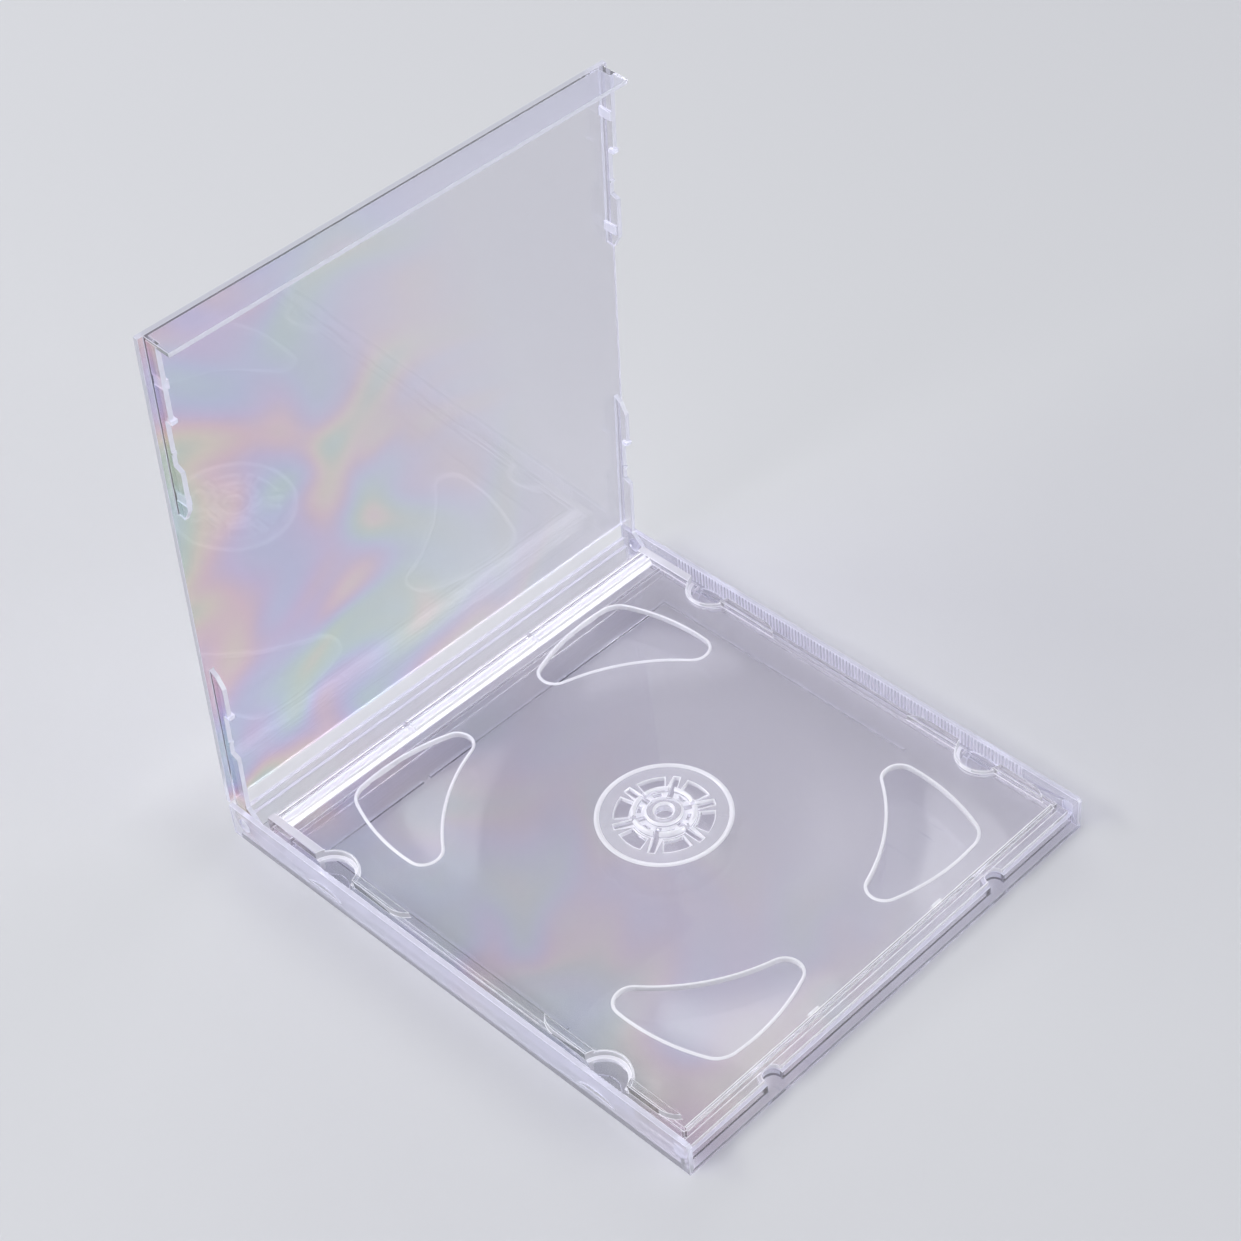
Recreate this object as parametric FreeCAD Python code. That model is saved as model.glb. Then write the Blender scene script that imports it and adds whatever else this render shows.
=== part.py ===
import FreeCAD
import Part
import math
import os

# Clear hinged disc case in three mouldings: base, tray and lid.
# Millimetres. X runs along the hinge, Y points to the hinge side, Z is up.
# The origin is the middle of the underside of the base.

V = FreeCAD.Vector

# Closed case
case_width = 125.0
case_depth = 142.0
case_height = 10.4

# Base
floor_t = 1.2
side_wall_t = 1.2
side_corner_r = 0.8
front_wall_inset = 1.8
front_wall_t = 1.1
front_wall_top = 3.5
rear_wall_inset = 2.1
rear_wall_t = 1.1
rear_wall_top = 8.0
rear_wall_gap = 1.0
rear_ledge_t = 0.8
rear_ledge_top = 6.0
scoop_inset = 27.0
scoop_r = 2.25
scoop_wall = 0.9
rest_tab_r = 4.5
rest_tab_t = 1.0
rest_tab_z = 2.4
slot_long = 10.0
slot_high = 1.3
catch_y = 3.1
catch_z = 5.3
catch_long = 2.6
catch_high = 3.4
catch_deep = 0.5
catch_round = 0.6
card_rib_t = 0.8
card_rib_h = 0.5
card_rib_side = 8.2
card_rib_rear = 21.9
card_rib_front = 44.0
card_break = 2.0
card_break_x = -24.0

# Lid
lid_plate_t = 1.3
lid_seat_gap = 0.1
lid_side_gap = 0.2
lid_wall_t = 1.1
lid_front_drop = 7.7
lid_side_drop = 3.5
lid_deep_drop = 3.95
lid_recess_drop = 2.0
lid_plate_end = 4.8
lid_recess_long = 12.4
lid_recess_slope = 0.8
lid_front_end = 46.5
lid_wedge = 3.5
lid_wedge_drop = 2.1
lid_hook = 0.4
lid_rear_start = 50.7
lid_shoulder_long = 3.9
lid_shoulder_bend = 1.0
lid_shoulder_drop = 1.7
nub_long = 2.3
nub_gap = 0.3
nub_insets = (10.8, 41.2)
tooth_long = 1.0
tooth_drop = 0.6
tooth_root = 1.0
tick_past = 2.2
tick_size = 0.4
open_angle = 87.0

# Hinge
pivot_inset = 4.5
pivot_height = 5.2
pin_r = 1.4
pin_gap = 0.275
pin_tip_gap = 0.2
ear_r = 3.7
ear_toe = 37.0

# Tray
tray_gap = 0.4
tray_seat_gap = 0.1
deck_top = 7.2
deck_t = 1.1
skirt_t = 1.1
flange_t = 1.1
side_flange = 1.7
front_flange = 1.9
front_bevel = 0.8
tray_rear_gap = 6.1
rail_long = 4.5
rail_top = 8.8
rail_wall = 1.1
rib_pitch = 1.5
rib_deep = 0.7
rib_flank = 0.2
rib_flat = 0.55
rib_break = 1.0
step_long = 0.6
under_rib_t = 0.9
under_rib_inset = 7.1
rear_notch_inset = 31.5
front_notch_inset = 26.5
notch_out = 1.0
notch_r = 5.2
notch_step = 0.4
notch_fall = 0.75
notch_rise = 0.9
notch_under = 0.6
lip_t = 2.0
lip_top = 8.7
lip_taper = 4.5
lip_long = 17.3
mid_lip_long = 14.8
corner_lip_long = 14.3
window_long = 2.0
window_wide = 1.0
window_rim = 0.3
window_insets = (1.6, 4.4, 9.2)
tick_x = 19.5
tick_long = 3.0
tick_wide = 0.6
tick_high = 0.4

# Hub and finger openings
hub_inset = 67.8
seat_r = 15.5
seat_border = 0.6
seat_rise = 0.25
collar_r = 7.35
collar_t = 1.1
collar_h = 1.65
collar_bead = 0.2
post_r = 4.4
post_bore = 2.0
post_h = 1.4
web_t = 0.8
fingers = 6
slot_w = 1.3
slot_r = 11.5
window_in = 7.95
window_out = 11.2
window_half = 16.0
eye_in = 5.2
eye_out = 6.1
eye_half = 10.0
grip_arc_r = 49.4
grip_near = 72.6
grip_far = 37.25
grip_tip_r = 3.8
grip_corner_r = 5.5
grip_corner_out = 14.35
grip_corner_turn = 54.2
grip_side_r = 50.0
grip_rim = 0.25
grip_rim_t = 0.6

# Worked out from the values above
half_w = case_width / 2
half_d = case_depth / 2
wall_in = half_w - side_wall_t
lid_under = case_height - lid_plate_t
wall_top = lid_under - lid_seat_gap
pivot_y = half_d - pivot_inset
lid_wall_out = wall_in - lid_side_gap
lid_wall_in = lid_wall_out - lid_wall_t
front_wall_y = -half_d + front_wall_inset
front_wall_in = front_wall_y + front_wall_t
rear_wall_y = half_d - rear_wall_inset
rear_wall_in = rear_wall_y - rear_wall_t
rear_wall_half = lid_wall_in - rear_wall_gap
tray_half = wall_in - tray_gap
tray_front = front_wall_in - tray_gap
tray_rear = rear_wall_in - tray_rear_gap
flange_z = front_wall_top + tray_seat_gap
flange_top = flange_z + flange_t
deck_z = deck_top - deck_t
deck_half = tray_half - side_flange
deck_front = tray_front + front_flange
rail_y = tray_rear - rail_long
lip_in = deck_half - lip_t
nub_deep = lid_wall_in - deck_half - nub_gap
hub_y = -half_d + hub_inset
notch_x = deck_half + notch_out
notch_y = (half_d - rear_notch_inset, -half_d + front_notch_inset)
notch_outer = notch_r + 3 * notch_step
scoop_x = half_w - scoop_inset
card_rib_x = wall_in - card_rib_side
card_rib_y = half_d - card_rib_rear


def box(x0, x1, y0, y1, z0, z1):
    return Part.makeBox(x1 - x0, y1 - y0, z1 - z0, V(x0, y0, z0))


def cylinder_z(x, y, r, z0, z1):
    return Part.makeCylinder(r, z1 - z0, V(x, y, z0))


def run_x(points, x0, x1):
    """Prism along X from an outline of (y, z) points."""
    corners = [V(x0, y, z) for y, z in points]
    face = Part.Face(Part.makePolygon(corners + corners[:1]))
    return face.extrude(V(x1 - x0, 0, 0))


def mirror_x(shape):
    return shape.mirror(V(0, 0, 0), V(1, 0, 0))


def both_sides(shape):
    return [shape, mirror_x(shape)]


def polar(shape, count, start, centre):
    """Copies of a shape about a vertical axis, start in degrees."""
    copies = []
    for k in range(count):
        copy = shape.copy()
        copy.rotate(centre, V(0, 0, 1), start + 360.0 * k / count)
        copies.append(copy)
    return copies


def base_side_wall():
    """Right wall with a round front corner, catch pocket and pin hole."""
    front = -half_d
    wall = box(wall_in, half_w, front, half_d, 0, wall_top)
    corner = [edge for edge in wall.Edges
              if edge.BoundBox.YMax < front + 0.01 and edge.BoundBox.ZMin > wall_top - 0.01]
    wall = wall.makeFillet(side_corner_r, corner)
    y = front + catch_y
    pocket = box(wall_in - 1, wall_in + catch_deep, y - catch_long / 2, y + catch_long / 2,
                 catch_z - catch_high / 2, catch_z + catch_high / 2)
    along = [edge for edge in pocket.Edges if edge.BoundBox.XLength > catch_deep]
    pocket = pocket.makeFillet(catch_round, along)
    hole = Part.makeCylinder(pin_r + pin_gap, side_wall_t + 2,
                             V(wall_in - 1, pivot_y, pivot_height), V(1, 0, 0))
    slots = [rest_slot(y) for y in notch_y]
    return wall.cut([pocket, hole] + slots)


def rest_slot(y):
    """Low arched slot in the wall just above a rest tab."""
    z0 = rest_tab_z + rest_tab_t
    half = slot_long / 2
    ends = [V(wall_in - 1, y - half, z0), V(wall_in - 1, y + half, z0)]
    arch = Part.Arc(ends[1], V(wall_in - 1, y, z0 + slot_high), ends[0]).toShape()
    sill = Part.LineSegment(ends[0], ends[1]).toShape()
    return Part.Face(Part.Wire([sill, arch])).extrude(V(side_wall_t + 2, 0, 0))


def rest_tab(y):
    """Half-round tab on the side wall, below a notch of the tray."""
    disc = cylinder_z(wall_in, y, rest_tab_r, rest_tab_z, rest_tab_z + rest_tab_t)
    keep = box(wall_in - rest_tab_r - 1, wall_in, y - rest_tab_r - 1, y + rest_tab_r + 1,
               rest_tab_z, rest_tab_z + rest_tab_t)
    return disc.common(keep)


def scoop_bulge():
    """Half-round bulge of the front wall round a scoop of the tray."""
    radius = scoop_r + scoop_wall
    bar = cylinder_z(scoop_x, tray_front, radius, 0, front_wall_top)
    keep = box(scoop_x - radius, scoop_x + radius, front_wall_y, tray_front + radius,
               0, front_wall_top)
    return bar.common(keep)


def card_ribs():
    """Low ribs on the floor that frame the printed card."""
    top = floor_t + card_rib_h
    front = -half_d + card_rib_front
    side = box(card_rib_x, card_rib_x + card_rib_t, front, card_rib_y + card_rib_t, 0, top)
    left = box(-card_rib_x, card_break_x - card_break / 2, card_rib_y, card_rib_y + card_rib_t,
               0, top)
    right = box(card_break_x + card_break / 2, card_rib_x, card_rib_y, card_rib_y + card_rib_t,
                0, top)
    return both_sides(side) + [left, right]


def make_base():
    floor = box(-half_w, half_w, -half_d, rear_wall_y, 0, floor_t)
    parts = both_sides(base_side_wall())
    parts.append(box(-wall_in, wall_in, front_wall_y, front_wall_in, 0, front_wall_top))
    parts.append(box(-rear_wall_half, rear_wall_half, rear_wall_in, rear_wall_y,
                     0, rear_wall_top))
    parts.append(box(-rear_wall_half, rear_wall_half, rear_wall_in - rear_ledge_t, rear_wall_in,
                     0, rear_ledge_top))
    parts.extend(card_ribs())
    for y in notch_y:
        parts.extend(both_sides(rest_tab(y)))
    parts.extend(both_sides(scoop_bulge()))
    solid = floor.fuse(parts).removeSplitter()
    hollow = cylinder_z(scoop_x, tray_front, scoop_r, floor_t, front_wall_top + 1)
    return solid.cut(both_sides(hollow))


def tray_front_section():
    """Deck edge, skirt and flange along the front."""
    skirt = deck_front + skirt_t
    return [(skirt + 0.5, deck_top),
            (deck_front + front_bevel, deck_top),
            (deck_front, deck_top - front_bevel),
            (deck_front, flange_top),
            (tray_front, flange_top),
            (tray_front, flange_z),
            (skirt, flange_z),
            (skirt, deck_z),
            (skirt + 0.5, deck_z)]


def tray_rear_section():
    """Ribbed rail along the hinge side, with its rear wall."""
    valley = rail_top - rib_deep
    points = [(rail_y - step_long - 0.5, deck_top),
              (rail_y - step_long, deck_top),
              (rail_y, valley)]
    count = int(rail_long / rib_pitch)
    for k in range(count):
        y = rail_y + k * rib_pitch
        flat_end = y + rib_flank + rib_flat
        points += [(y + rib_flank, rail_top), (flat_end, rail_top), (flat_end + rib_flank, valley)]
        if k < count - 1:
            points.append((y + rib_pitch, valley))
    points += [(tray_rear, valley),
               (tray_rear, flange_z),
               (tray_rear - rail_wall, flange_z),
               (tray_rear - rail_wall, deck_z),
               (rail_y - step_long - 0.5, deck_z)]
    return points


def tray_side():
    """Right flange and skirt, the rear rail and the lips."""
    rear_notch, front_notch = notch_y
    return [box(deck_half - skirt_t, tray_half, tray_front, tray_rear, flange_z, flange_top),
            box(deck_half - skirt_t, deck_half, deck_front, tray_rear, flange_z, deck_top),
            box(lip_in, deck_half, rear_notch + notch_r, tray_rear, deck_z, rail_top),
            tray_lip(rear_notch - notch_r, -lip_long),
            tray_lip(front_notch + notch_r, mid_lip_long),
            tray_lip(front_notch - notch_r, -corner_lip_long)]


def tray_lip(start, long):
    """Raised bar from a notch along the deck's edge, with a long taper at its free end.

    The taper is one arc that leaves the bar's outer side smoothly and meets its inner side.
    """
    way = math.copysign(1, long)
    end = start + long
    bend = end - way * lip_taper
    radius = (lip_taper ** 2 + lip_t ** 2) / (2 * lip_t)
    turn = math.asin(lip_taper / radius) / 2
    middle = V(deck_half - radius * (1 - math.cos(turn)),
               bend + way * radius * math.sin(turn), deck_z)
    corners = [V(lip_in, end, deck_z), V(lip_in, start, deck_z),
               V(deck_half, start, deck_z), V(deck_half, bend, deck_z)]
    sides = [Part.LineSegment(a, b).toShape() for a, b in zip(corners, corners[1:])]
    taper = Part.Arc(corners[3], middle, corners[0]).toShape()
    return Part.Face(Part.Wire(sides + [taper])).extrude(V(0, 0, lip_top - deck_z))


def notch_collar(y):
    """Ring round a side notch, cut off at the deck's edge."""
    top = deck_top + notch_rise
    ring = cylinder_z(notch_x, y, notch_outer, deck_z - notch_under, top)
    keep = box(notch_x - notch_outer, deck_half, y - notch_outer, y + notch_outer, 0, top)
    return ring.common(keep)


def notch_hollow(y):
    """Bore of a notch and the two steps inside its ring."""
    top = deck_top + notch_rise
    steps = [cylinder_z(notch_x, y, notch_r + k * notch_step, top - k * notch_fall, rail_top + 1)
             for k in (1, 2)]
    return steps + [cylinder_z(notch_x, y, notch_r, 0, rail_top + 1)]


def flange_windows():
    """Small openings in the flange beside the rear rail."""
    x0 = deck_half + window_rim
    middles = [tray_rear - inset for inset in window_insets]
    return [box(x0, x0 + window_wide, y - window_long / 2, y + window_long / 2,
                floor_t, flange_top + 1) for y in middles]


def under_rib():
    """Stiffening rib below the deck near the hinge."""
    y = tray_rear - under_rib_inset
    half = deck_half - skirt_t + 0.1
    return box(-half, half, y - under_rib_t / 2, y + under_rib_t / 2, flange_z, deck_z + 0.1)


def snap_tick():
    """Low mark on the deck's front edge."""
    y0 = deck_front + front_bevel
    return box(tick_x - tick_long / 2, tick_x + tick_long / 2, y0, y0 + tick_wide,
               deck_z, deck_top + tick_high)


def rail_break():
    """Short gap in the rail's ribs, in line with a tick on the front edge."""
    return box(tick_x - rib_break / 2, tick_x + rib_break / 2, rail_y - step_long, tray_rear + 1,
               rail_top - rib_deep, rail_top + 1)


def ring_sector(r0, r1, half_angle, z0, z1):
    """Sector of a ring about the hub axis, centred on +X."""
    outer = Part.makeCylinder(r1, z1 - z0, V(0, hub_y, z0), V(0, 0, 1), 2 * half_angle)
    inner = Part.makeCylinder(r0, z1 - z0, V(0, hub_y, z0))
    sector = outer.cut(inner)
    sector.rotate(V(0, hub_y, 0), V(0, 0, 1), -half_angle)
    return sector


def hub_profile():
    """Half section of the hub as (r, z) above the plate's top."""
    inner = collar_r - collar_t
    return [(post_bore, -deck_t), (seat_r, -deck_t), (seat_r, seat_rise),
            (seat_r - seat_border, seat_rise), (seat_r - seat_border - 0.3, 0),
            (collar_r, 0), (collar_r, collar_h - 1.0),
            (collar_r + collar_bead, collar_h - 0.7), (collar_r - 0.2, collar_h - 0.1),
            (collar_r - 0.5, collar_h), (inner, collar_h - 0.4), (inner, 0.4),
            (post_r, 0.4), (post_r, post_h - 0.4), (post_r - 0.4, post_h),
            (post_bore + 0.4, post_h), (post_bore, post_h - 0.4)]


def make_hub():
    """Seat ring, sprung collar segments and centre post, turned and cut."""
    points = [V(r, hub_y, deck_top + z) for r, z in hub_profile()]
    face = Part.Face(Part.makePolygon(points + points[:1]))
    hub = face.revolve(V(0, hub_y, 0), V(0, 0, 1), 360)
    under = collar_r - collar_t - post_r
    relief = Part.makeCylinder(post_r + under, deck_t - web_t + 0.4, V(0, hub_y, deck_z - 0.4))
    core = Part.makeCylinder(post_r, deck_t, V(0, hub_y, deck_z - 0.4))
    z0 = deck_z - 1
    z1 = deck_top + collar_h + 1
    slot = box(post_r, slot_r, hub_y - slot_w / 2, hub_y + slot_w / 2, z0, z1)
    pitch = 360.0 / fingers
    axis = V(0, hub_y, 0)
    cuts = polar(slot, fingers, pitch / 2, axis)
    cuts += polar(ring_sector(window_in, window_out, window_half, z0, z1), fingers, 0, axis)
    cuts += polar(ring_sector(eye_in, eye_out, eye_half, z0, z1), fingers, 0, axis)
    return hub.cut([relief.cut(core)] + cuts)


def at_turn(radius, degrees):
    """Point about the hub at a radius and an angle from +X."""
    return V(radius * math.cos(math.radians(degrees)), radius * math.sin(math.radians(degrees)), 0)


def arc_about(centre, radius, start, end):
    """Arc of less than half a turn between two directions about a centre."""
    first = V(start).normalize()
    last = V(end).normalize()
    middle = (first + last).normalize()
    points = [centre + direction * radius for direction in (first, middle, last)]
    return Part.Arc(*points).toShape()


def side_centre(first, first_r, last, last_r, radius):
    """Centre, on the hub's side, of the arc that holds two smaller arcs inside it."""
    along = last - first
    gap = along.Length
    reach = radius - first_r
    run = (gap ** 2 + reach ** 2 - (radius - last_r) ** 2) / (2 * gap)
    across = V(-along.y, along.x, 0).normalize()
    if across.dot(first) > 0:
        across = -across
    return first + along.normalize() * run + across * math.sqrt(reach ** 2 - run ** 2)


def grip_outline(grow):
    """Finger opening in the quarter towards +X and +Y, grown by an offset.

    Its inner side follows an arc about the hub. Round tips, two slightly crowned sides and a
    round outer corner follow, each meeting the next smoothly.
    """
    near = at_turn(grip_arc_r + grip_tip_r, grip_near)
    far = at_turn(grip_arc_r + grip_tip_r, grip_far)
    corner = at_turn(grip_arc_r + grip_corner_out, grip_corner_turn)
    top = side_centre(near, grip_tip_r, corner, grip_corner_r, grip_side_r)
    side = side_centre(far, grip_tip_r, corner, grip_corner_r, grip_side_r)
    tip_r = grip_tip_r + grow
    side_r = grip_side_r + grow
    edges = [arc_about(V(0, 0, 0), grip_arc_r - grow, far, near),
             arc_about(near, tip_r, -near, near - top),
             arc_about(top, side_r, near - top, corner - top),
             arc_about(corner, grip_corner_r + grow, corner - top, corner - side),
             arc_about(side, side_r, corner - side, far - side),
             arc_about(far, tip_r, far - side, -far)]
    return Part.Face(Part.Wire(edges))


def grip_prism(grow, z0, z1):
    """Upright prism of the finger opening."""
    prism = grip_outline(grow).extrude(V(0, 0, z1 - z0))
    prism.translate(V(0, hub_y, z0))
    return prism


def four_ways(shape):
    """The shape and its copies in all quarters about the hub."""
    across = V(0, hub_y, 0)
    pair = both_sides(shape)
    return pair + [copy.mirror(across, V(0, 1, 0)) for copy in pair]


def make_tray():
    """Deck with rails, lips, notches, hub and finger openings."""
    y1 = rail_y - step_long
    deck = box(-deck_half + 0.1, deck_half - 0.1, deck_front + skirt_t, y1, deck_z, deck_top)
    rims = four_ways(grip_prism(grip_rim_t, deck_z, deck_top + grip_rim))
    deck = deck.fuse(rims)
    deck = deck.cut(four_ways(grip_prism(0, deck_z - 1, deck_top + 2)))
    deck = deck.cut(Part.makeCylinder(seat_r - 0.05, deck_t + 2, V(0, hub_y, deck_z - 1)))
    parts = [run_x(tray_front_section(), -deck_half, deck_half),
             run_x(tray_rear_section(), -deck_half, deck_half),
             make_hub(), under_rib()]
    parts.extend(both_sides(snap_tick()))
    for part in tray_side():
        parts.extend(both_sides(part))
    for y in notch_y:
        parts.extend(both_sides(notch_collar(y)))
    solid = deck.fuse(parts)
    cuts = both_sides(rail_break())
    for y in notch_y:
        for hollow in notch_hollow(y):
            cuts.extend(both_sides(hollow))
    for window in flange_windows():
        cuts.extend(both_sides(window))
    cuts.extend(both_sides(cylinder_z(scoop_x, tray_front, scoop_r, 0, flange_top + 0.01)))
    return solid.cut(cuts).removeSplitter()


def lid_front_outline():
    """Front stretch of the right side wall as (y, z), with its hooked end."""
    top = lid_under
    edge = top - lid_side_drop
    high = top - lid_recess_drop
    deep = top - lid_deep_drop
    front = -half_d
    a = notch_y[1] - lid_recess_long / 2
    b = notch_y[1] + lid_recess_long / 2
    end = front + lid_front_end
    return [(front, top), (front, edge), (a, edge), (a, high), (b - lid_recess_slope, high),
            (b, deep), (end - lid_wedge, deep), (end, top - lid_wedge_drop),
            (end - lid_hook, top)]


def lid_rear_outline():
    """Rear stretch of the right side wall as (y, z), down to the ear."""
    top = lid_under
    edge = top - lid_side_drop
    high = top - lid_recess_drop
    deep = top - lid_deep_drop
    start = half_d - lid_rear_start
    a = notch_y[0] - lid_recess_long / 2
    b = notch_y[0] + lid_recess_long / 2
    plate_end = pivot_y - lid_plate_end
    toe = math.radians(ear_toe)
    return [(start, top), (start + lid_shoulder_bend, top - lid_shoulder_drop),
            (start + lid_shoulder_long, edge), (a, edge), (a, high),
            (b - lid_recess_slope, high), (b, deep), (plate_end, deep),
            (pivot_y - ear_r * math.cos(toe), pivot_height - ear_r * math.sin(toe)),
            (pivot_y, pivot_height), (pivot_y, pivot_height + ear_r), (plate_end, top)]


def lid_nub(inset):
    """Upright block on the inside of the side wall that keeps a booklet in."""
    y = -half_d + inset
    return box(lid_wall_in - nub_deep, lid_wall_in + 0.1, y - nub_long / 2, y + nub_long / 2,
               lid_under - lid_side_drop, lid_under)


def lid_recess_marks(y):
    """Tooth where the wall's recess beside a notch starts, and a tick inside it."""
    start = y - lid_recess_long / 2
    edge = lid_under - lid_side_drop
    high = lid_under - lid_recess_drop
    tooth = box(lid_wall_in - nub_deep, lid_wall_out, start - tooth_long, start,
                edge - tooth_drop, edge + tooth_root)
    tick = box(lid_wall_in, lid_wall_out, y + tick_past - tick_size, y + tick_past + tick_size,
               high - tick_size, high)
    return [tooth, tick]


def lid_side():
    """Right side wall in two stretches, with its ear, hinge pin and small blocks."""
    parts = [run_x(outline(), lid_wall_in, lid_wall_out)
             for outline in (lid_front_outline, lid_rear_outline)]
    ear = Part.makeCylinder(ear_r, lid_wall_t, V(lid_wall_in, pivot_y, pivot_height), V(1, 0, 0))
    pin_long = lid_side_gap + side_wall_t - pin_tip_gap
    pin = Part.makeCylinder(pin_r, pin_long + 0.2, V(lid_wall_out - 0.2, pivot_y, pivot_height),
                            V(1, 0, 0))
    parts.extend([ear, pin])
    parts.extend(lid_nub(inset) for inset in nub_insets)
    for y in notch_y:
        parts.extend(lid_recess_marks(y))
    return parts


def make_lid():
    """The lid as it lies when shut, then swung open about its pins."""
    front = -half_d
    rear = pivot_y - lid_plate_end
    plate = box(-half_w, half_w, front, rear, lid_under, case_height)
    parts = [box(-lid_wall_out, lid_wall_out, front, front + lid_wall_t,
                 lid_under - lid_front_drop, lid_under)]
    for part in lid_side():
        parts.extend(both_sides(part))
    solid = plate.fuse(parts).removeSplitter()
    solid.rotate(V(0, pivot_y, pivot_height), V(1, 0, 0), -open_angle)
    return solid


def main():
    os.makedirs("parts", exist_ok=True)
    for name, shape in (("base", make_base()), ("tray", make_tray()), ("lid", make_lid())):
        bounds = shape.BoundBox
        print(name, shape.isValid(), len(shape.Solids), round(shape.Volume / 1000, 2), "cm3",
              [round(v, 2) for v in (bounds.XMin, bounds.XMax, bounds.YMin, bounds.YMax,
                                     bounds.ZMin, bounds.ZMax)])
        shape.exportStep("parts/" + name + ".step")


main()
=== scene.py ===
"""Looks of a clear hinged disc case that stands open on a pale floor.

The three mouldings come from the frame. Each gets a clear polystyrene finish of its own, and
the fine work too small for the frame is added here: the ribs inside the base's side walls.
Lengths in the classes are in millimetres, in the part's own frame, and meshes are in metres.
"""

import logging
import math
from dataclasses import dataclass
from enum import Enum
from typing import Any

import bmesh
import bpy
import numpy as np
from mathutils import Matrix, Vector


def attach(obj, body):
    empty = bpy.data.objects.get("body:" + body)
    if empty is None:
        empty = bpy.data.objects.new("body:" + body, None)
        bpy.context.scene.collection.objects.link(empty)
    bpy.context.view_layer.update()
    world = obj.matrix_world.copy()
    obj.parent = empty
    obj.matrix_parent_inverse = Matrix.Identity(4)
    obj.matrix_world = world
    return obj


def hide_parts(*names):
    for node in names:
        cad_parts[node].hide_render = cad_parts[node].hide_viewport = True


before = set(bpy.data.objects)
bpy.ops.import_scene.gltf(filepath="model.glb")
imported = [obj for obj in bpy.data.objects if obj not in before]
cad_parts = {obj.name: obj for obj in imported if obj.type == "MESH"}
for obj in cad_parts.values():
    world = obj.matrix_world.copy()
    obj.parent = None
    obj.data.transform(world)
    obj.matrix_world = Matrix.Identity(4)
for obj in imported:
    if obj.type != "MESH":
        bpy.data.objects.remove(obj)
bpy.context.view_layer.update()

LOG = logging.getLogger("disc_case")
MM = 0.001
IMAGE_PX = 1241.0
SENSOR_MM = 36.0
# Face attribute for how pale a face is made: real satin on some faces, and on narrow faces a
# painted highlight standing for edges that catch light.
SATIN_AND_HIGHLIGHT = "satin"
TINY = 1e-9


class Moulding(Enum):
    """The three mouldings of the case, by the names of their nodes."""

    BASE = "base"
    TRAY = "tray"
    LID = "lid"


def linear(hex_code: str) -> tuple[float, float, float, float]:
    """Turns an sRGB hex colour into linear values.

    Args:
        hex_code: Six hex digits, with or without a leading mark.

    Returns:
        Linear red, green and blue, and an alpha of 1.
    """
    digits = hex_code.lstrip("#")
    srgb = [int(digits[i:i + 2], 16) / 255 for i in (0, 2, 4)]
    low = [c / 12.92 for c in srgb]
    high = [((c + 0.055) / 1.055) ** 2.4 for c in srgb]
    rgb = [a if c <= 0.04045 else b for c, a, b in zip(srgb, low, high)]
    return rgb[0], rgb[1], rgb[2], 1.0


def add_node(
    tree: bpy.types.NodeTree,
    kind: str,
    settings: dict[str, Any] | None = None,
    inputs: dict[str | int, Any] | None = None,
) -> bpy.types.Node:
    """Adds one node with its settings, socket values and links.

    Args:
        tree: The node tree that takes the node.
        kind: Blender's type name for the node.
        settings: Attributes to set on the node.
        inputs: Values for input sockets; a socket as the value makes a link.

    Returns:
        The new node.
    """
    node = tree.nodes.new(kind)
    for name, value in (settings or {}).items():
        setattr(node, name, value)
    for name, value in (inputs or {}).items():
        if isinstance(value, bpy.types.NodeSocket):
            tree.links.new(value, node.inputs[name])
        else:
            node.inputs[name].default_value = value
    return node


def read_array(
    items: bpy.types.bpy_prop_collection, name: str, size: int = 1, kind: type = float
) -> np.ndarray:
    """Reads one property of all vertices, edges, loops or faces of a mesh.

    Args:
        items: The mesh's vertices, edges, loops or polygons.
        name: The property's name.
        size: How many numbers each item has.
        kind: Type of the numbers.

    Returns:
        One number per item, or one row per item where the size is above 1.
    """
    values = np.zeros(len(items) * size, kind)
    items.foreach_get(name, values)
    return values.reshape(-1, size) if size > 1 else values


def new_material(name: str) -> tuple[bpy.types.Material, bpy.types.NodeTree]:
    """Makes an empty node material.

    Args:
        name: The material's name.

    Returns:
        The material and its cleared node tree.
    """
    material = bpy.data.materials.new(name)
    material.use_nodes = True
    material.node_tree.nodes.clear()
    return material, material.node_tree


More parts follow.
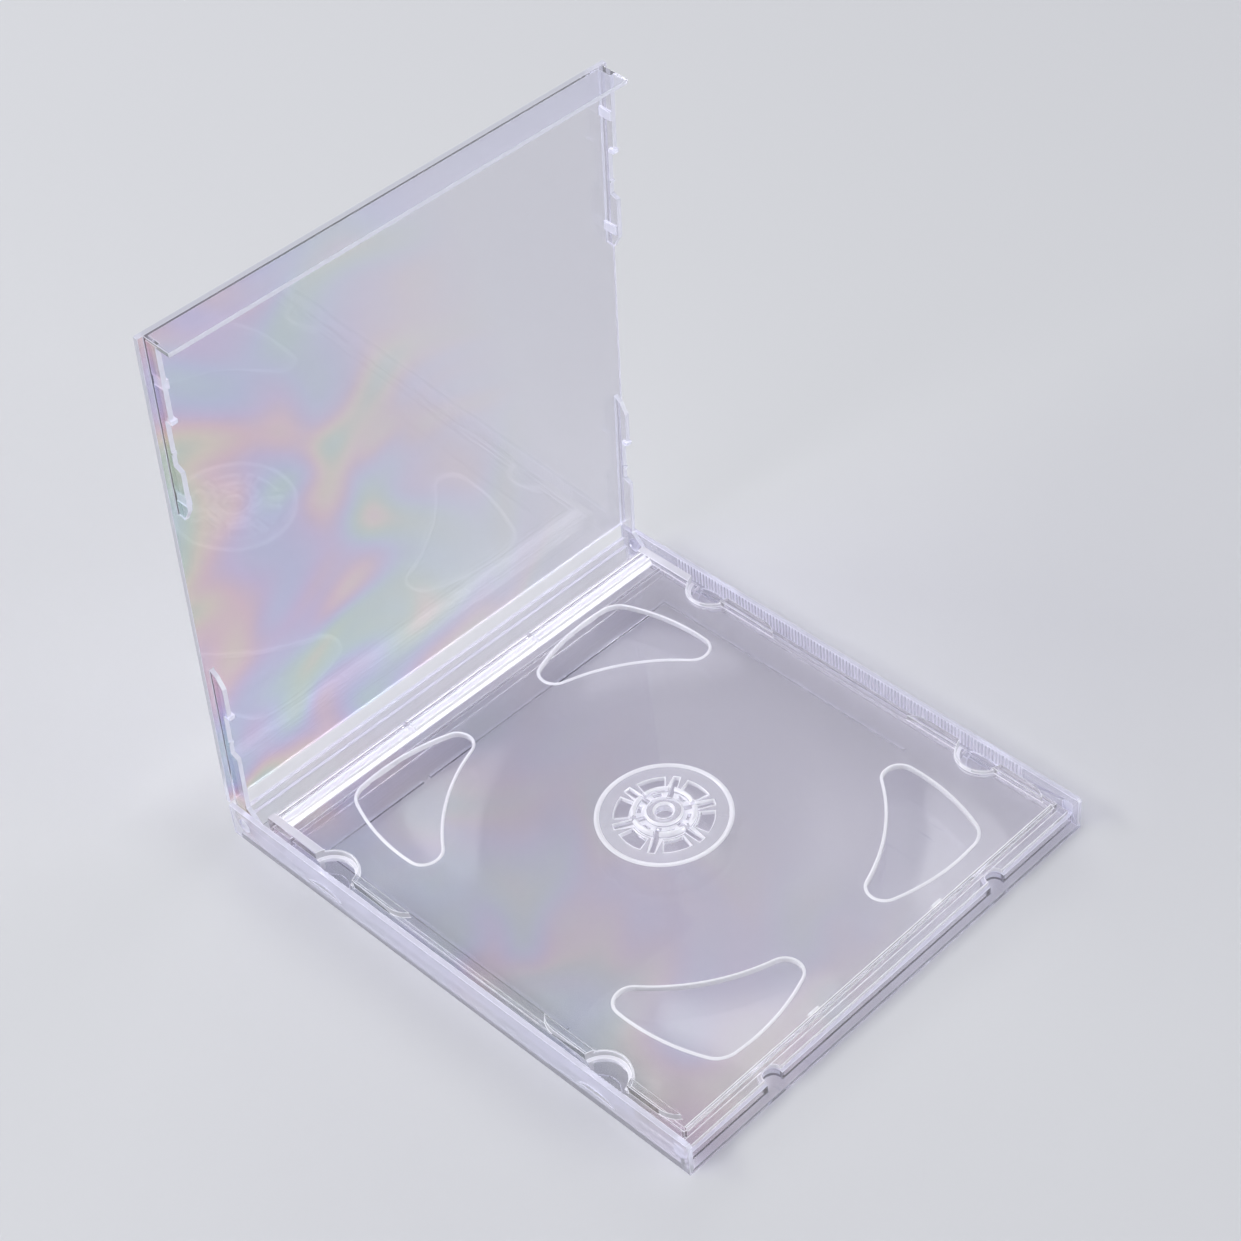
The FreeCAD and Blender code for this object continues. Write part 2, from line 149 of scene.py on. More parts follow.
@dataclass(frozen=True)
class ClearPolystyrene:
    """Injection-moulded clear polystyrene.

    Polystyrene is a hard, glassy plastic with an IOR of 1.59. It takes a mirror gloss from the
    polished tool, with the faint waviness of plastic that shrank as it cooled and a few fine
    scuffs from handling. Tool-textured faces are satin. Narrow edges are made satin and pale
    too, a painted highlight standing for the light they catch, and locked-in stress shows as
    soft bands of colour where light crosses it.
    """

    name: str
    tint: str = "F2F1F4"
    # Pale colour of satin faces, which is also the painted highlight colour of narrow edges.
    satin_and_highlight_tint: str = "F5F5FA"
    ior: float = 1.59
    roughness: float = 0.02
    satin_roughness: float = 0.22
    satin_cover: float = 0.72
    satin_hides_stress: float = 5.0
    haze: float = 0.04
    shadow_tint: str = "DFDEE3"
    stress: float = 0.25
    stress_mm: float = 46.0
    stress_orders: float = 3.2
    stress_from_mm: float = 20.0
    stress_to_mm: float = -50.0
    stress_way: tuple[float, float, float] = (1.0, 0.0, 0.0)
    stress_hues: tuple[str, ...] = (
        "8CCFC6", "A6D690", "F0D080", "F09AA4", "BE8CDE", "8CA6EA", "8CCFC6")
    stress_swirl: float = 0.9
    wave_mm: float = 11.0
    wave_depth_mm: float = 0.02
    scuff_mm: float = 1.3
    scuff_stretch: float = 9.0
    scuff_slant: tuple[float, float, float] = (0.3, 0.2, 0.6)
    scuff_start: float = 0.70
    scuff_full: float = 0.82
    scuff_cover: float = 0.16

    def stress_colour(
        self, tree: bpy.types.NodeTree, place: bpy.types.NodeSocket
    ) -> bpy.types.NodeSocket:
        """Adds the interference colours of the stress frozen into the moulding.

        A warped noise stands for the stress. Multiplied by the number of colour orders, its
        fraction runs round a ring of pastel hues.

        Args:
            tree: The material's node tree.
            place: Socket with the position on the moulding.

        Returns:
            The colour, already faded towards the clear tint.
        """
        warp = add_node(tree, "ShaderNodeTexNoise", inputs={
            "Vector": place,
            "Scale": 1 / (self.stress_mm * MM),
            "Detail": 1.0,
            "Distortion": self.stress_swirl,
        })
        orders = add_node(tree, "ShaderNodeMath", {"operation": "MULTIPLY"}, {
            0: warp.outputs["Fac"], 1: self.stress_orders})
        order = add_node(tree, "ShaderNodeMath", {"operation": "FRACT"}, {0: orders.outputs[0]})
        ramp = add_node(tree, "ShaderNodeValToRGB", inputs={"Fac": order.outputs[0]})
        stops = ramp.color_ramp.elements
        steps = len(self.stress_hues) - 1
        stops[0].color = linear(self.stress_hues[0])
        stops[1].color = linear(self.stress_hues[steps])
        for k in range(1, steps):
            stops.new(k / steps).color = linear(self.stress_hues[k])
        along = add_node(tree, "ShaderNodeVectorMath", {"operation": "DOT_PRODUCT"}, {
            0: place, 1: self.stress_way})
        fade = add_node(tree, "ShaderNodeMapRange", inputs={
            "Value": along.outputs["Value"],
            "From Min": self.stress_from_mm * MM,
            "From Max": self.stress_to_mm * MM,
            "To Min": 0.0,
            "To Max": self.stress,
        })
        mix = add_node(tree, "ShaderNodeMix", {"data_type": "RGBA"}, {
            0: fade.outputs[0], 6: linear(self.tint), 7: ramp.outputs["Color"]})
        return mix.outputs[2]

    def satin_highlight_and_scuffs(
        self, tree: bpy.types.NodeTree, place: bpy.types.NodeSocket
    ) -> bpy.types.NodeSocket:
        """Adds the moulding's own satin and painted edge highlight amount and its scuffs,
        whichever is more.

        A noise drawn out along one slanted direction leaves short thin strokes where it peaks.

        Args:
            tree: The material's node tree.
            place: Socket with the position on the moulding.

        Returns:
            The amount, from 0 for clear to 1 for satin or full painted highlight.
        """
        drawn = add_node(tree, "ShaderNodeMapping", inputs={
            "Vector": place,
            "Rotation": self.scuff_slant,
            "Scale": (1.0, 1.0 / self.scuff_stretch, 1.0),
        })
        strokes = add_node(tree, "ShaderNodeTexNoise", inputs={
            "Vector": drawn.outputs["Vector"],
            "Scale": 1 / (self.scuff_mm * MM),
            "Detail": 2.0,
        })
        scuff = add_node(tree, "ShaderNodeMapRange", inputs={
            "Value": strokes.outputs["Fac"],
            "From Min": self.scuff_start,
            "From Max": self.scuff_full,
            "To Max": self.scuff_cover,
        })
        # The face attribute: satin, and on narrow faces a painted edge highlight.
        satin = add_node(tree, "ShaderNodeAttribute", {"attribute_name": SATIN_AND_HIGHLIGHT})
        most = add_node(tree, "ShaderNodeMath", {"operation": "MAXIMUM"}, {
            0: satin.outputs["Fac"], 1: scuff.outputs[0]})
        return most.outputs[0]

    def build(self) -> bpy.types.Material:
        """Makes the material.

        Returns:
            The finished material.
        """
        material, tree = new_material(self.name)
        place = add_node(tree, "ShaderNodeTexCoord").outputs["Object"]
        amount = self.satin_highlight_and_scuffs(tree, place)
        pale = add_node(tree, "ShaderNodeMath", {"operation": "MULTIPLY", "use_clamp": True}, {
            0: amount, 1: self.satin_hides_stress})
        # Satin faces and narrow edges are paled towards the pale tint; on narrow edges this is a
        # painted highlight.
        colour = add_node(tree, "ShaderNodeMix", {"data_type": "RGBA"}, {
            0: pale.outputs[0], 6: self.stress_colour(tree, place),
            7: linear(self.satin_and_highlight_tint)})
        waves = add_node(tree, "ShaderNodeTexNoise", inputs={
            "Vector": place, "Scale": 1 / (self.wave_mm * MM), "Detail": 0.0})
        bump = add_node(tree, "ShaderNodeBump", inputs={
            "Strength": 1.0,
            "Distance": self.wave_depth_mm * MM,
            "Height": waves.outputs["Fac"],
        })
        clear = add_node(tree, "ShaderNodeMath", {"operation": "MULTIPLY_ADD"}, {
            0: amount, 1: -self.satin_cover, 2: 1 - self.haze})
        gloss = add_node(tree, "ShaderNodeMath", {"operation": "MULTIPLY_ADD"}, {
            0: amount, 1: self.satin_roughness - self.roughness, 2: self.roughness})
        shader = add_node(tree, "ShaderNodeBsdfPrincipled", inputs={
            "Base Color": colour.outputs[2],
            "Roughness": gloss.outputs[0],
            "IOR": self.ior,
            "Transmission Weight": clear.outputs[0],
            "Normal": bump.outputs["Normal"],
        })
        ray = add_node(tree, "ShaderNodeLightPath")
        through = add_node(tree, "ShaderNodeBsdfTransparent", inputs={
            "Color": linear(self.shadow_tint)})
        surface = add_node(tree, "ShaderNodeMixShader", inputs={
            0: ray.outputs["Is Shadow Ray"], 1: shader.outputs["BSDF"],
            2: through.outputs["BSDF"]})
        add_node(tree, "ShaderNodeOutputMaterial", inputs={"Surface": surface.outputs["Shader"]})
        return material


@dataclass(frozen=True)
class StudioSweep:
    """Plain matt paper floor, pale and without texture."""

    name: str = "pale_floor"
    colour: str = "D3D4D7"
    roughness: float = 0.9

    def build(self) -> bpy.types.Material:
        """Makes the floor's material.

        Returns:
            The finished material.
        """
        material, tree = new_material(self.name)
        shader = add_node(tree, "ShaderNodeBsdfPrincipled", inputs={
            "Base Color": linear(self.colour),
            "Roughness": self.roughness,
        })
        add_node(tree, "ShaderNodeOutputMaterial", inputs={"Surface": shader.outputs["BSDF"]})
        return material


def mesh_object(name: str, verts: np.ndarray, faces: np.ndarray) -> bpy.types.Object:
    """Puts arrays of corners and faces into a new object at the origin.

    Args:
        name: Name of the object and its mesh.
        verts: Corners in metres, one row each.
        faces: Corner indices, one row per face.

    Returns:
        The new object, linked to the scene.
    """
    mesh = bpy.data.meshes.new(name)
    mesh.from_pydata(verts.tolist(), [], faces.tolist())
    mesh.validate()
    mesh.update()
    piece = bpy.data.objects.new(name, mesh)
    bpy.context.scene.collection.objects.link(piece)
    return piece


def put_in_order(work: bmesh.types.BMesh) -> None:
    """Sorts the corners, edges and faces of a mesh by where they lie.

    A rounding leaves them in an order that changes from run to run.

    Args:
        work: The mesh. Only the order of its parts is changed.
    """
    def place(vert: bmesh.types.BMVert) -> tuple[float, ...]:
        """Gives the place of a corner."""
        return tuple(vert.co)

    def places(part: bmesh.types.BMEdge | bmesh.types.BMFace) -> list[tuple[float, ...]]:
        """Lists the places of an edge's or a face's corners, lowest first."""
        return sorted(place(vert) for vert in part.verts)

    for parts, key in ((work.verts, place), (work.edges, places), (work.faces, places)):
        ranks = {part: rank for rank, part in enumerate(sorted(parts, key=key))}
        parts.sort(key=ranks.get)


@dataclass
class ClearShell:
    """One moulding with its edges broken as a polished tool leaves them.

    A face's normal is compared with facing where the face looks along an axis, and with upright
    where it is a wall.
    """

    moulding: Moulding
    body: str
    finish: ClearPolystyrene
    edge_mm: float = 0.13
    edge_steps: int = 2
    weld_mm: float = 0.0002
    sharp_degrees: float = 25.0
    # Flats narrower than narrow_mm are paled in full as a painted edge highlight, fading out by
    # wide_mm.
    narrow_mm: float = 0.8
    wide_mm: float = 1.7
    plane_steps: float = 200.0
    facing: float = 0.9
    upright: float = 0.3

    def first_cuts(self, work: bmesh.types.BMesh) -> None:
        """Makes the cuts that come before the common rounding. A plain shell has none.

        Args:
            work: The joined copy of the node, which is changed.
        """

    def sharp_edges(self, work: bmesh.types.BMesh) -> list[bmesh.types.BMEdge]:
        """Finds the edges at which the surface turns sharply.

        Args:
            work: The joined copy of the node.

        Returns:
            The sharp edges.
        """
        least = math.radians(self.sharp_degrees)
        return [edge for edge in work.edges
                if edge.is_manifold and edge.calc_face_angle() > least]

    def round_edges(
        self, work: bmesh.types.BMesh, edges: list[bmesh.types.BMEdge], radius: float, steps: int
    ) -> None:
        """Rounds edges.

        Args:
            work: The joined copy of the node, which is changed.
            edges: Its edges to round.
            radius: How far the rounding reaches from each edge, in millimetres.
            steps: Number of faces across the rounding.
        """
        bmesh.ops.bevel(work, geom=edges, offset=radius * MM, offset_type="OFFSET",
                        segments=steps, profile=0.5, affect="EDGES", clamp_overlap=False,
                        loop_slide=True)

    def rounded_mesh(self) -> bpy.types.Mesh:
        """Copies the node, joins its triangles at their corners and rounds its sharp edges.

        Returns:
            The new mesh.
        """
        work = bmesh.new()
        work.from_mesh(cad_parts[self.moulding.value].data)
        bmesh.ops.remove_doubles(work, verts=work.verts, dist=self.weld_mm * MM)
        self.first_cuts(work)
        self.round_edges(work, self.sharp_edges(work), self.edge_mm, self.edge_steps)
        put_in_order(work)
        mesh = bpy.data.meshes.new(f"{self.moulding.value}_moulding")
        work.to_mesh(mesh)
        work.free()
        return mesh

    def face_widths(self, mesh: bpy.types.Mesh) -> np.ndarray:
        """Works out how wide the flat that each face belongs to is.

        Faces that share a plane make one flat. A long flat's width is twice its area over its
        outline's length, and an edge between two faces of one flat isn't part of its outline.

        Args:
            mesh: The mesh to measure.

        Returns:
            One width in millimetres per face.
        """
        normals = read_array(mesh.polygons, "normal", 3)
        heights = np.sum(normals * read_array(mesh.polygons, "center", 3), axis=1) / MM
        planes = np.column_stack([normals * self.plane_steps, heights * self.plane_steps])
        flats = np.unique(np.round(planes), axis=0, return_inverse=True)[1].reshape(-1)
        corner_flat = np.repeat(flats, read_array(mesh.polygons, "loop_total", 1, np.int32))
        edges = read_array(mesh.loops, "edge_index", 1, np.int32)
        ends = read_array(mesh.edges, "vertices", 2, np.int32)
        ends = read_array(mesh.vertices, "co", 3)[ends]
        lengths = np.linalg.norm(ends[:, 1] - ends[:, 0], axis=1)
        lowest = np.full(len(mesh.edges), len(flats))
        highest = np.full(len(mesh.edges), -1)
        np.minimum.at(lowest, edges, corner_flat)
        np.maximum.at(highest, edges, corner_flat)
        outline = (lowest != highest)[edges] * lengths[edges]
        area = np.bincount(flats, read_array(mesh.polygons, "area"))
        around = np.bincount(corner_flat, outline)
        return (2 * area / np.maximum(around, TINY))[flats] / MM

    def satin_and_highlight_zones(self, centres: np.ndarray, normals: np.ndarray) -> np.ndarray:
        """Says how satin each wide face is, or how strongly it is painted with highlight, by its
        place. A plain shell has no such zone.

        Args:
            centres: Middle of each face in millimetres.
            normals: Direction of each face.

        Returns:
            One amount from 0, clear, to 1, satin, per face.
        """
        return np.zeros(len(centres))

    def satin_and_highlight_limits(self, centres: np.ndarray, normals: np.ndarray) -> np.ndarray:
        """Says how satin, or how strongly painted with highlight, each face may be at most, by
        its place. A plain shell has no limit.

        Args:
            centres: Middle of each face in millimetres.
            normals: Direction of each face.

        Returns:
            One amount from 0, clear, to 1, satin, per face.
        """
        return np.ones(len(centres))

    def build(self) -> bpy.types.Object:
        """Builds the moulding, marks its satin faces and its narrow faces, which are paled as a
        painted edge highlight, and gives it to its body.

        Returns:
            The finished piece.
        """
        mesh = self.rounded_mesh()
        centres = read_array(mesh.polygons, "center", 3) / MM
        normals = read_array(mesh.polygons, "normal", 3)
        widths = self.face_widths(mesh)
        # Painted highlight: narrow faces are paled, standing for edges that catch light.
        edge_highlight = np.clip((self.wide_mm - widths) / (self.wide_mm - self.narrow_mm), 0, 1)
        amounts = np.maximum(edge_highlight, self.satin_and_highlight_zones(centres, normals))
        amounts = np.minimum(amounts, self.satin_and_highlight_limits(centres, normals))
        satin = mesh.attributes.new(SATIN_AND_HIGHLIGHT, "FLOAT", "FACE")
        satin.data.foreach_set("value", amounts.astype(np.float32))
        mesh.materials.append(self.finish.build())
        piece = bpy.data.objects.new(mesh.name, mesh)
        bpy.context.scene.collection.objects.link(piece)
        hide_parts(self.moulding.value)
        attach(piece, self.body)
        LOG.info("built %s with %d faces", piece.name, len(mesh.polygons))
        return piece


@dataclass
class BaseShell(ClearShell):
    """Bottom shell: satin outer side walls and fine upright ribs inside them.

    The real ribs are about 0.7 mm apart, which is too fine to show in the render, so they are
    drawn coarser, 1 mm apart.
    """

    narrow_mm: float = 0.6
    wide_mm: float = 1.5
    wall_satin: float = 0.4
    # Caps on the satin and painted edge highlight of the floor's low ribs and of the thumb
    # scoops' walls.
    floor_rib_satin: float = 0.22
    floor_rib_mm: float = 3.0
    scoop_satin: float = 0.2
    scoop_x_mm: float = 35.5
    scoop_half_mm: float = 4.5
    scoop_front_mm: float = -60.0
    outer_from_mm: float = 62.3
    floor_half_mm: float = 57.3
    wall_in_mm: float = 61.3
    rib_pitch_mm: float = 1.0
    rib_from_mm: float = -55.0
    rib_to_mm: float = 53.0
    rib_low_mm: float = 4.9
    rib_high_mm: float = 8.85
    rib_half_mm: float = 0.3
    rib_crest: float = 0.4
    rib_proud_mm: float = 0.12
    rib_sink_mm: float = 0.03

    def satin_and_highlight_zones(self, centres: np.ndarray, normals: np.ndarray) -> np.ndarray:
        """Marks the outer faces of the two side walls.

        Args:
            centres: Middle of each face in millimetres.
            normals: Direction of each face.

        Returns:
            One satin amount per face.
        """
        outer = (np.abs(normals[:, 0]) > self.facing) & (normals[:, 0] * centres[:, 0] > 0)
        outer &= np.abs(centres[:, 0]) > self.outer_from_mm
        return np.where(outer, self.wall_satin, 0.0)

    def satin_and_highlight_limits(self, centres: np.ndarray, normals: np.ndarray) -> np.ndarray:
        """Keeps the low ribs of the floor and the walls of the thumb scoops nearly clear of
        satin and painted edge highlight.

        Args:
            centres: Middle of each face in millimetres.
            normals: Direction of each face.

        Returns:
            One largest satin amount per face.
        """
        low = centres[:, 2] < self.floor_rib_mm
        low &= np.abs(centres[:, 0]) < self.floor_half_mm
        scoop = np.abs(np.abs(centres[:, 0]) - self.scoop_x_mm) < self.scoop_half_mm
        scoop &= (centres[:, 1] < self.scoop_front_mm) & (np.abs(normals[:, 2]) < self.upright)
        return np.select([scoop, low], [self.scoop_satin, self.floor_rib_satin], 1.0)

    def wall_ribs(self) -> bpy.types.Object:
        """Builds the fine ribs on the inner faces of both side walls.

        Each rib is an upright bar with a four-point section, repeated along the wall by adding
        its place to the section's points.

        Returns:
            The ribs as one piece.
        """
        places = np.arange(self.rib_from_mm, self.rib_to_mm, self.rib_pitch_mm)
        depth = np.array([self.rib_sink_mm, -self.rib_proud_mm, -self.rib_proud_mm,
                          self.rib_sink_mm]) + self.wall_in_mm
        spread = np.array([-1.0, -self.rib_crest, self.rib_crest, 1.0]) * self.rib_half_mm
        levels = np.array([self.rib_low_mm, self.rib_high_mm])
        sides = np.array([-1.0, 1.0])
        shape = (len(sides), len(places), len(levels), len(depth))
        x = np.broadcast_to(sides[:, None, None, None] * depth, shape)
        y = np.broadcast_to(places[None, :, None, None] + spread, shape)
        z = np.broadcast_to(levels[None, None, :, None], shape)
        verts = np.stack([x, y, z], axis=-1).reshape(-1, 3) * MM
        bar = np.array([[3, 2, 1, 0], [4, 5, 6, 7], [0, 1, 5, 4], [1, 2, 6, 5], [2, 3, 7, 6],
                        [3, 0, 4, 7]])
        starts = np.arange(len(sides) * len(places)) * len(levels) * len(depth)
        faces = bar[None] + starts[:, None, None]
        faces[:len(places)] = faces[:len(places), :, ::-1]
        ribs = mesh_object("base_wall_ribs", verts, faces.reshape(-1, 4))
        # The ribs are paled in full, a painted highlight of the light their narrow faces catch.
        satin = ribs.data.attributes.new(SATIN_AND_HIGHLIGHT, "FLOAT", "FACE")
        satin.data.foreach_set("value", np.ones(len(ribs.data.polygons), np.float32))
        return ribs

    def build(self) -> bpy.types.Object:
        """Builds the shell and its ribs.

        Returns:
            The finished shell.
        """
        shell = super().build()
        ribs = self.wall_ribs()
        ribs.data.materials.append(shell.data.materials[0])
        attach(ribs, self.body)
        LOG.info("built %s with %d faces", ribs.name, len(ribs.data.polygons))
        return shell


@dataclass
class TrayShell(ClearShell):
    """Disc tray: its seat round the hub is finely frosted, and the walls of its openings are
    painted white, a painted highlight for the light they catch.

    Its rear rail is clear between edges painted white as a highlight.
    """

    narrow_mm: float = 0.45
    wide_mm: float = 1.0
    hub_y_mm: float = -3.2
    seat_r_mm: float = 15.7
    seat_satin: float = 0.27
    deck_low_mm: float = 7.0
    cut_reach_mm: float = 54.0
    # Painted highlight: the walls of the openings are paled almost fully.
    cut_wall_highlight: float = 0.9
    hub_r_mm: float = 8.6
    hub_satin: float = 0.3
    hub_upright: float = 0.15
    side_satin: float = 0.55
    side_upright: float = 0.35
    level: float = 0.97
    lip_low_mm: float = 8.0
    rail_y_mm: float = 59.7
    rail_low_mm: float = 7.4
    rail_edge_mm: float = 8.6
    rail_satin: float = 0.2
    hole_in_mm: float = 7.85
    hole_out_mm: float = 11.7
    hole_low_mm: float = 6.5
    hole_edge_mm: float = 0.28
    hole_edge_steps: int = 4

    def first_cuts(self, work: bmesh.types.BMesh) -> None:
        """Rounds the upper edges and the corners of the hub's windows and slots more widely.

        Args:
            work: The joined copy of the node, which is changed.
        """
        holes = []
        for edge in self.sharp_edges(work):
            middle = (edge.verts[0].co + edge.verts[1].co) / 2 / MM
            reach = math.hypot(middle.x, middle.y - self.hub_y_mm)
            if self.hole_in_mm < reach < self.hole_out_mm and middle.z > self.hole_low_mm:
                holes.append(edge)
        self.round_edges(work, holes, self.hole_edge_mm, self.hole_edge_steps)

    def satin_and_highlight_zones(self, centres: np.ndarray, normals: np.ndarray) -> np.ndarray:
        """Marks the upward faces of the seat round the hub, which are frosted, and the walls of
        the openings, which are painted white as a highlight.

        Args:
            centres: Middle of each face in millimetres.
            normals: Direction of each face.

        Returns:
            One satin amount per face.
        """
        reach = np.hypot(centres[:, 0], centres[:, 1] - self.hub_y_mm)
        seat = (reach < self.seat_r_mm) & (normals[:, 2] > self.facing)
        seat &= centres[:, 2] > self.deck_low_mm
        along = np.abs(centres[:, 1] - self.hub_y_mm)
        wall = (reach > self.hub_r_mm) & (np.abs(normals[:, 2]) < self.upright)
        wall &= (np.abs(centres[:, 0]) < self.cut_reach_mm) & (along < self.cut_reach_mm)
        return np.select([seat, wall], [self.seat_satin, self.cut_wall_highlight], 0.0)

    def satin_and_highlight_limits(self, centres: np.ndarray, normals: np.ndarray) -> np.ndarray:
        """Keeps the hub's and the sides' upright walls and the rail's flats mostly clear of
        satin and painted edge highlight.

        Args:
            centres: Middle of each face in millimetres.
            normals: Direction of each face.

        Returns:
            One largest satin amount per face.
        """
        reach = np.hypot(centres[:, 0], centres[:, 1] - self.hub_y_mm)
        slope = np.abs(normals[:, 2])
        hub = (reach < self.hub_r_mm) & (slope < self.hub_upright)
        top = (normals[:, 2] > self.level) & (centres[:, 2] > self.lip_low_mm)
        side = (np.abs(centres[:, 0]) > self.cut_reach_mm) & ((slope < self.side_upright) | top)
        rail = (centres[:, 1] > self.rail_y_mm) & (centres[:, 2] > self.rail_low_mm)
        rail &= (centres[:, 2] < self.rail_edge_mm) | top
        limits = [self.hub_satin, self.side_satin, self.rail_satin]
        return np.select([hub, side, rail], limits, 1.0)


@dataclass
class LidShell(ClearShell):
    """Cover: its front wall, uppermost when the lid stands open, is slightly satin.

    The wall's free rim and the end of the cover's panel are painted white, a painted highlight
    for the light these edges catch; at the panel's end the pale paint also covers a dark
    internally reflected line.
    """

    wall_satin: float = 0.15
    wall_z_mm: float = 139.0
    rim_z_mm: float = 141.0
    lean_degrees: float = 3.0
    panel_back_mm: float = 71.9
    panel_mm: float = 1.35
    # Painted highlight on the panel's end, which also lightens a dark internally reflected line
    # there.
    panel_end_highlight: float = 0.85

    def outward(self) -> np.ndarray:
        """Works out the way that the panel's outer face looks."""
        lean = math.radians(self.lean_degrees)
        return np.array([0.0, math.cos(lean), math.sin(lean)])

    def panel_depth(self, points: np.ndarray) -> np.ndarray:
        """Works out how far points lie in front of the panel's outer face.

        Args:
            points: Places in millimetres, one row each.

        Returns:
            One depth in millimetres per point.
        """
        return self.panel_back_mm - points @ self.outward()

    def first_cuts(self, work: bmesh.types.BMesh) -> None:
        """Cuts the front wall's outer face along the panel's inner face.

        Args:
            work: The joined copy of the node, which is changed.
        """
        outward = Vector(self.outward())
        top = [face for face in work.faces
               if face.normal.z > self.facing
               and face.calc_center_median().z > self.rim_z_mm * MM]
        around = {item for face in top for item in (*face.verts, *face.edges, face)}
        bmesh.ops.bisect_plane(work, geom=list(around), plane_no=outward,
                               plane_co=outward * (self.panel_back_mm - self.panel_mm) * MM)

    def satin_and_highlight_zones(self, centres: np.ndarray, normals: np.ndarray) -> np.ndarray:
        """Marks the front wall's two broad faces, slightly satin, and its rim and the panel's
        end, which are painted white as a highlight.

        Args:
            centres: Middle of each face in millimetres.
            normals: Direction of each face.

        Returns:
            One satin amount per face.
        """
        wall = (centres[:, 2] > self.wall_z_mm) & (np.abs(normals[:, 2]) > self.facing)
        rim = (centres[:, 2] > self.rim_z_mm) & (normals[:, 1] < -self.facing)
        end = wall & (normals[:, 2] > 0) & (self.panel_depth(centres) < self.panel_mm)
        # The rim and the panel's end get a painted highlight; the broad faces are slightly
        # satin.
        return np.select([rim, end, wall], [1.0, self.panel_end_highlight, self.wall_satin], 0.0)


@dataclass(frozen=True)
class StripLamp:
    """A long soft lamp that points at the origin. Its spread is 180 where it has no grid."""

    name: str
    place: tuple[float, float, float]
    size: tuple[float, float]
    watts: float
    spread_degrees: float = 180.0

    def build(self) -> None:
        """Hangs the lamp."""
        data = bpy.data.lights.new(self.name, "AREA")
        data.shape = "RECTANGLE"
        data.size = self.size[0]
        data.size_y = self.size[1]
        data.energy = self.watts
        data.spread = math.radians(self.spread_degrees)
        lamp = bpy.data.objects.new(self.name, data)
        place = Vector(self.place)
        aim = (-place).to_track_quat("-Z", "Y")
        lamp.matrix_world = Matrix.LocRotScale(place, aim, None)
        bpy.context.scene.collection.objects.link(lamp)


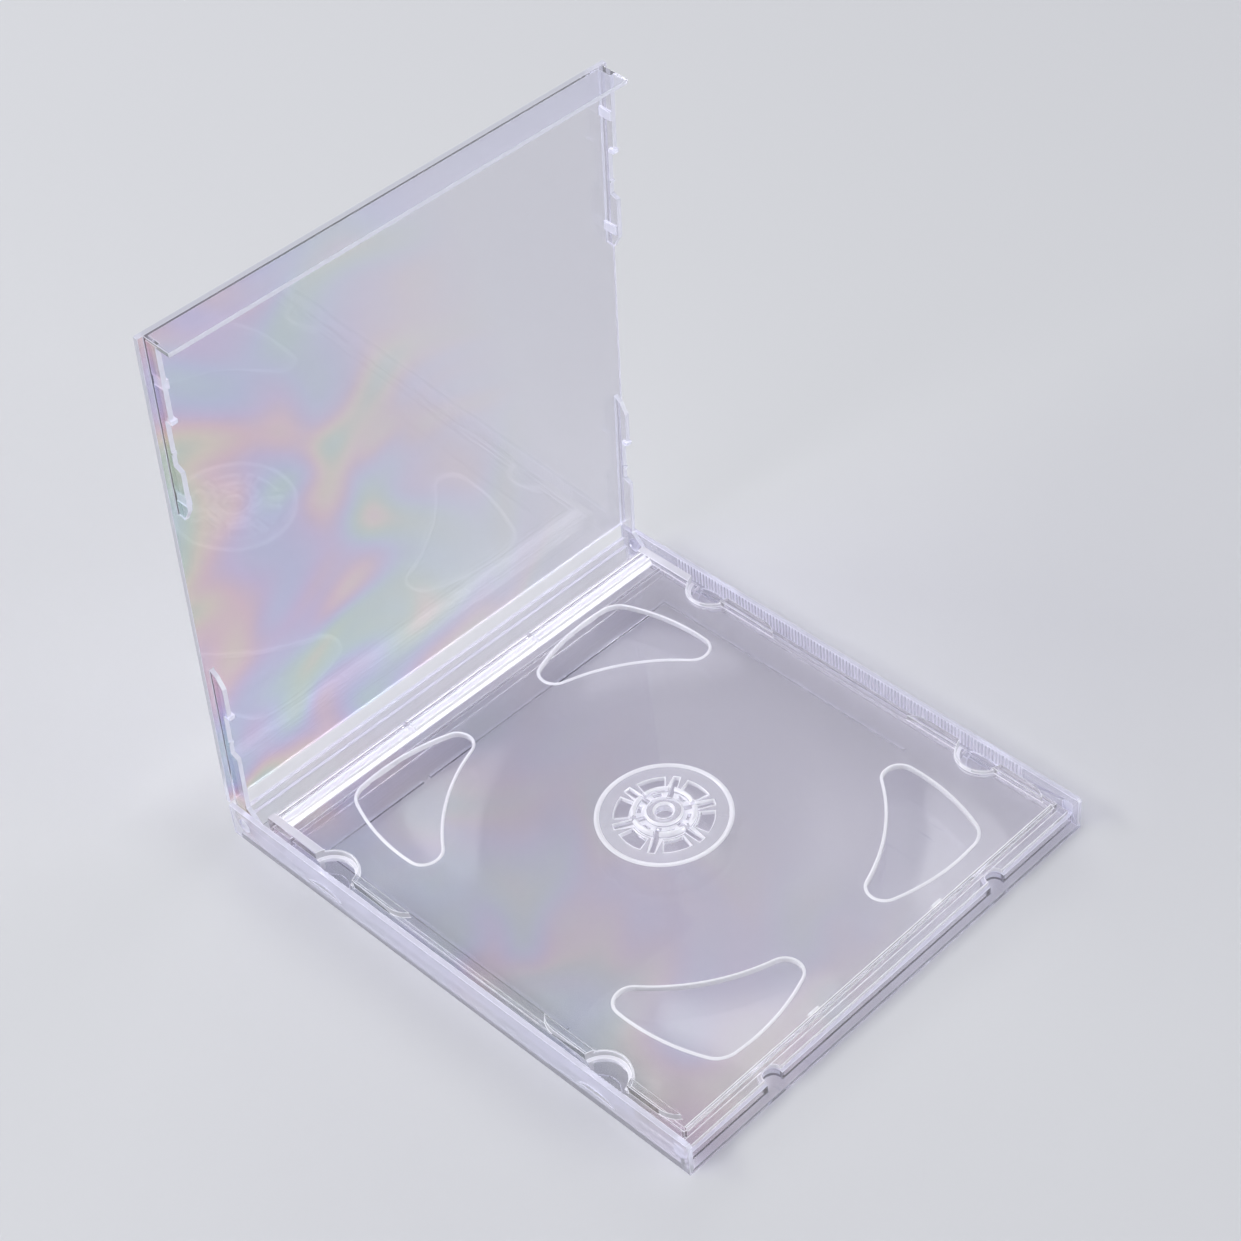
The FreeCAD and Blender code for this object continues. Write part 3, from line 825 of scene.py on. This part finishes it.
@dataclass
class Studio:
    """Floor, lamps, world and camera.

    The camera turns about its target on the floor. Angles are in degrees, and the focal length
    and the optical centre are in pixels of the photograph.
    """

    floor_half_mm: float = 1100.0
    floor_drop_mm: float = 0.02
    azimuth: float = -46.059
    elevation: float = 43.641
    roll: float = -2.293
    distance_mm: float = 681.49
    target_x: float = 65.634
    target_y: float = 15.873
    focal_px: float = 2863.4
    centre_u: float = 801.5
    centre_v: float = 643.3
    clip_start_mm: float = 10.0
    world_grey: str = "A6A7AC"
    backdrop_grey: str = "D0D1D6"

    def build_floor(self) -> None:
        """Lays the floor just under the base."""
        half = self.floor_half_mm * MM
        corners = np.array([[-1, -1], [1, -1], [1, 1], [-1, 1]]) * half
        verts = np.column_stack([corners, np.full(4, -self.floor_drop_mm * MM)])
        floor = mesh_object("floor", verts, np.array([[0, 1, 2, 3]]))
        floor.data.materials.append(StudioSweep().build())

    def build_lamps(self) -> None:
        """Hangs three long soft strips, placed so that rounded edges catch them.

        The two low strips have grids, which keep their light off the floor near them.
        """
        StripLamp("key", (-1.56, 1.3, 1.62), (1.8, 0.28), 46.0).build()
        StripLamp("front_strip", (1.15, -2.2, 0.8), (1.4, 0.24), 2.8, 50.0).build()
        StripLamp("back_strip", (1.5, 1.9, 0.85), (1.6, 0.28), 1.9, 60.0).build()

    def build_world(self) -> None:
        """Sets an even grey surround, which looks pale directly, in gloss and through glass."""
        world = bpy.data.worlds.new("studio")
        world.use_nodes = True
        tree = world.node_tree
        tree.nodes.clear()
        ray = add_node(tree, "ShaderNodeLightPath")
        gloss = add_node(tree, "ShaderNodeMath", {"operation": "MAXIMUM"}, {
            0: ray.outputs["Is Glossy Ray"], 1: ray.outputs["Is Transmission Ray"]})
        seen = add_node(tree, "ShaderNodeMath", {"operation": "MAXIMUM"}, {
            0: ray.outputs["Is Camera Ray"], 1: gloss.outputs[0]})
        colour = add_node(tree, "ShaderNodeMix", {"data_type": "RGBA"}, {
            0: seen.outputs[0], 6: linear(self.world_grey), 7: linear(self.backdrop_grey)})
        back = add_node(tree, "ShaderNodeBackground", inputs={
            "Color": colour.outputs[2], "Strength": 1.0})
        add_node(tree, "ShaderNodeOutputWorld", inputs={"Surface": back.outputs["Background"]})
        bpy.context.scene.world = world

    def build_camera(self) -> None:
        """Sets the camera where the photograph was taken from."""
        turn, tilt = math.radians(self.azimuth), math.radians(self.elevation)
        back = Vector((math.sin(turn) * math.cos(tilt), -math.cos(turn) * math.cos(tilt),
                       math.sin(tilt)))
        right = Vector((0, 0, 1)).cross(back).normalized()
        up = back.cross(right)
        roll = math.radians(self.roll)
        right_rolled = math.cos(roll) * right + math.sin(roll) * up
        up_rolled = -math.sin(roll) * right + math.cos(roll) * up
        place = Vector((self.target_x, self.target_y, 0)) * MM + back * self.distance_mm * MM
        data = bpy.data.cameras.new("camera")
        data.sensor_width = SENSOR_MM
        data.sensor_fit = "HORIZONTAL"
        data.lens = self.focal_px / IMAGE_PX * SENSOR_MM
        data.shift_x = (IMAGE_PX / 2 - self.centre_u) / IMAGE_PX
        data.shift_y = (self.centre_v - IMAGE_PX / 2) / IMAGE_PX
        data.clip_start = self.clip_start_mm * MM
        camera = bpy.data.objects.new("camera", data)
        camera.matrix_world = Matrix((
            (right_rolled.x, up_rolled.x, back.x, place.x),
            (right_rolled.y, up_rolled.y, back.y, place.y),
            (right_rolled.z, up_rolled.z, back.z, place.z),
            (0, 0, 0, 1),
        ))
        bpy.context.scene.collection.objects.link(camera)
        bpy.context.scene.camera = camera

    def build(self) -> None:
        """Builds the whole studio."""
        self.build_floor()
        self.build_lamps()
        self.build_world()
        self.build_camera()
        bpy.context.scene.view_settings.view_transform = "Standard"


def build_case() -> None:
    """Builds the three mouldings. The tray is snapped into the base and rides with it."""
    # The pale tints are also the colours of the painted edge highlight.
    base = ClearPolystyrene("clear_base", satin_and_highlight_tint="EAEAF6", stress=0.05)
    tray = ClearPolystyrene("clear_tray", haze=0.08, stress=0.13)
    lid = ClearPolystyrene("clear_lid", tint="EAE9EF", satin_and_highlight_tint="E9EAF6", stress=0.32,
                           stress_from_mm=48.0, stress_to_mm=-20.0,
                           stress_way=(1.0, 0.0, 0.22))
    BaseShell(Moulding.BASE, "base", base).build()
    TrayShell(Moulding.TRAY, "base", tray).build()
    LidShell(Moulding.LID, "lid", lid).build()


def main() -> None:
    """Builds every piece in order."""
    logging.basicConfig(level=logging.INFO)
    build_case()
    Studio().build()


if __name__ == "__main__":
    main()
